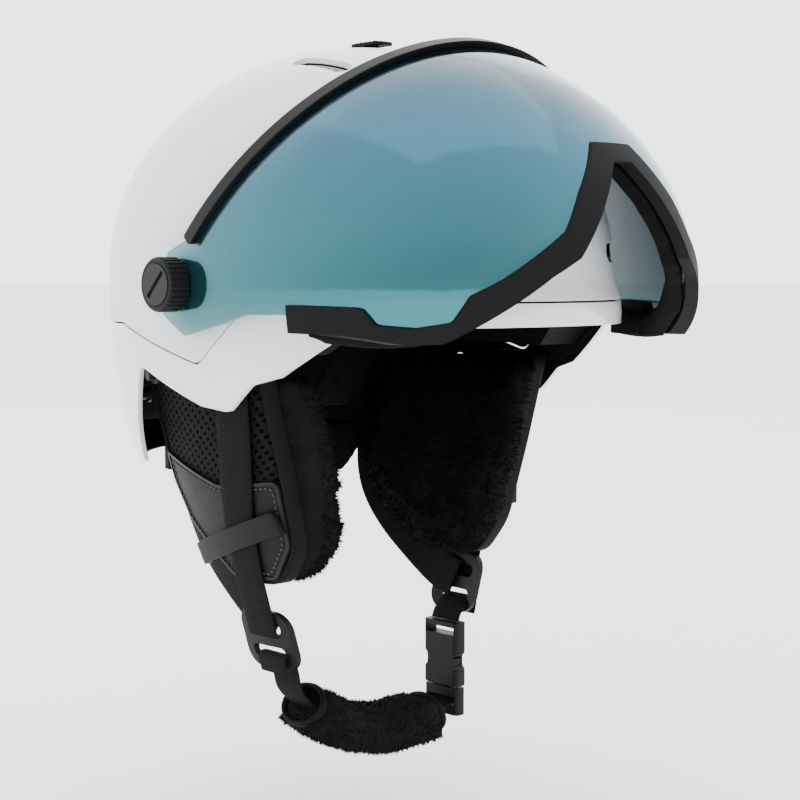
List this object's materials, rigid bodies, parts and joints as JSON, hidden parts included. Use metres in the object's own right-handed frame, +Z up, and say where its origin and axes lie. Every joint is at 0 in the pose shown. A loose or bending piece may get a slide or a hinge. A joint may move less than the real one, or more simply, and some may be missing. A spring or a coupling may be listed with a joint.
{
  "type": "ski helmet",
  "caption": "Open-face ski helmet with a raised mirrored visor on side pivots, ear pads, webbing harness with a side-release chin buckle, sliding vent and dial fit adjuster.",
  "frame": {"origin": "centre of the head cavity, level with the wearer's brow", "axes": "+Z up through the crown, -Y towards the wearer's face, +X towards the wearer's left ear"},
  "size_m": [0.2618, 0.3277, 0.3603],
  "materials": {
    "shell_upper": "satin white",
    "shell_lower": "gloss white",
    "shock_foam": "moulded bead foam",
    "comfort_fabric": "brushed knit",
    "vent_plastic": "fine grained",
    "mirror_lens": "blue to teal mirror coat",
    "trim_rubber": "satin",
    "frame_rubber": "matte",
    "face_foam": "foam with fleece face",
    "hardware_plastic": "grained",
    "knob_disc": "satin",
    "ear_mesh": "spacer mesh",
    "fur": "plush pile",
    "leather": "smooth grey",
    "webbing": "ribbed webbing",
    "steel": "black zinc",
    "snap_plastic": "moulded",
    "fit_plastic": "grained"
  },
  "bodies": {
    "helmet": {"upper_shell": "shell_upper", "lower_shell": "shell_lower", "eps_liner": "shock_foam", "comfort_liner": "comfort_fabric", "brow_pad": "comfort_fabric", "neck_roll": "comfort_fabric", "front_vent_grilles": "vent_plastic", "rear_vent_grilles": "vent_plastic", "roof_vent_grilles": "vent_plastic", "pivot_base_right": "hardware_plastic", "pivot_base_left": "hardware_plastic", "pivot_nut_right": "hardware_plastic", "pivot_nut_left": "hardware_plastic", "divider_right": "hardware_plastic", "divider_left": "hardware_plastic", "buckle_female": "hardware_plastic", "ear_pad_right": "ear_mesh", "ear_pad_left": "ear_mesh", "ear_lining_right": "fur", "ear_lining_left": "fur", "ear_patch_right": "leather", "ear_patch_left": "leather", "keeper_loop_right": "leather", "keeper_loop_left": "leather", "front_strap_right": "webbing", "front_strap_left": "webbing", "rear_strap_right": "webbing", "rear_strap_left": "webbing", "chin_strap_right": "webbing", "chin_strap_left": "webbing", "strap_rivets": "steel", "rear_rivets": "steel", "fit_screws": "steel", "ear_pad_snaps": "snap_plastic", "fit_housing": "fit_plastic", "fit_cover": "fit_plastic"},
    "visor": {"visor_lens": "mirror_lens", "visor_top_trim": "trim_rubber", "visor_frame": "frame_rubber", "visor_foam": "face_foam"},
    "visor_knob_right": {"knob_right": "hardware_plastic", "knob_cap_right": "knob_disc"},
    "visor_knob_left": {"knob_left": "hardware_plastic", "knob_cap_left": "knob_disc"},
    "vent_slider": {"vent_shutter": "vent_plastic", "vent_knob": "vent_plastic"},
    "adjuster_dial": {"fit_dial": "fit_plastic", "fit_pinion": "fit_plastic"},
    "adjuster_arm_left": {"fit_arm_left": "fit_plastic"},
    "adjuster_arm_right": {"fit_arm_right": "fit_plastic"},
    "chin_loop_end": {"buckle_male": "hardware_plastic", "chin_webbing": "webbing", "chin_pad": "comfort_fabric"},
    "prong_front": {"buckle_prong_front": "hardware_plastic"},
    "prong_rear": {"buckle_prong_rear": "hardware_plastic"}
  },
  "joints": [
    {"name": "visor_tilt", "type": "hinge", "parent": "helmet", "child": "visor", "pos_m": [0, -0.012, 0.014], "axis": [1, 0, 0], "range_deg": [0, 36]},
    {"name": "knob_right_turn", "type": "hinge", "parent": "helmet", "child": "visor_knob_right", "pos_m": [0, -0.012, 0.014], "axis": [1, 0, 0], "range_deg": [0, 90]},
    {"name": "knob_left_turn", "type": "hinge", "parent": "helmet", "child": "visor_knob_left", "pos_m": [0, -0.012, 0.014], "axis": [1, 0, 0], "range_deg": [0, 90]},
    {"name": "vent_slide", "type": "slide", "parent": "helmet", "child": "vent_slider", "axis": [0, 1, 0], "range_m": [0, 0.012]},
    {"name": "fit_dial_turn", "type": "hinge", "parent": "helmet", "child": "adjuster_dial", "pos_m": [0, 0.11, -0.076], "axis": [0, 1, 0], "range_deg": [-60, 60]},
    {"name": "fit_arm_left_slide", "type": "slide", "parent": "helmet", "child": "adjuster_arm_left", "axis": [1, 0, 0], "range_m": [-0.0053, 0.0053]},
    {"name": "fit_arm_right_slide", "type": "slide", "parent": "helmet", "child": "adjuster_arm_right", "axis": [-1, 0, 0], "range_m": [-0.0053, 0.0053]},
    {"name": "buckle_release", "type": "slide", "parent": "helmet", "child": "chin_loop_end", "axis": [0, 0, -1], "range_m": [0, 0.024]},
    {"name": "prong_front_press", "type": "hinge", "parent": "chin_loop_end", "child": "prong_front", "pos_m": [0.054, -0.0187, -0.2008], "axis": [-1, 0, 0], "range_deg": [0, 5], "stiffness_Nm_per_rad": 0.05},
    {"name": "prong_rear_press", "type": "hinge", "parent": "chin_loop_end", "child": "prong_rear", "pos_m": [0.054, -0.0033, -0.2008], "axis": [1, 0, 0], "range_deg": [0, 5], "stiffness_Nm_per_rad": 0.05}
  ],
  "couplings": [
    {"joint": "fit_arm_left_slide", "follows": "fit_dial_turn", "m_per_rad": 0.005},
    {"joint": "fit_arm_right_slide", "follows": "fit_dial_turn", "m_per_rad": 0.005}
  ]
}
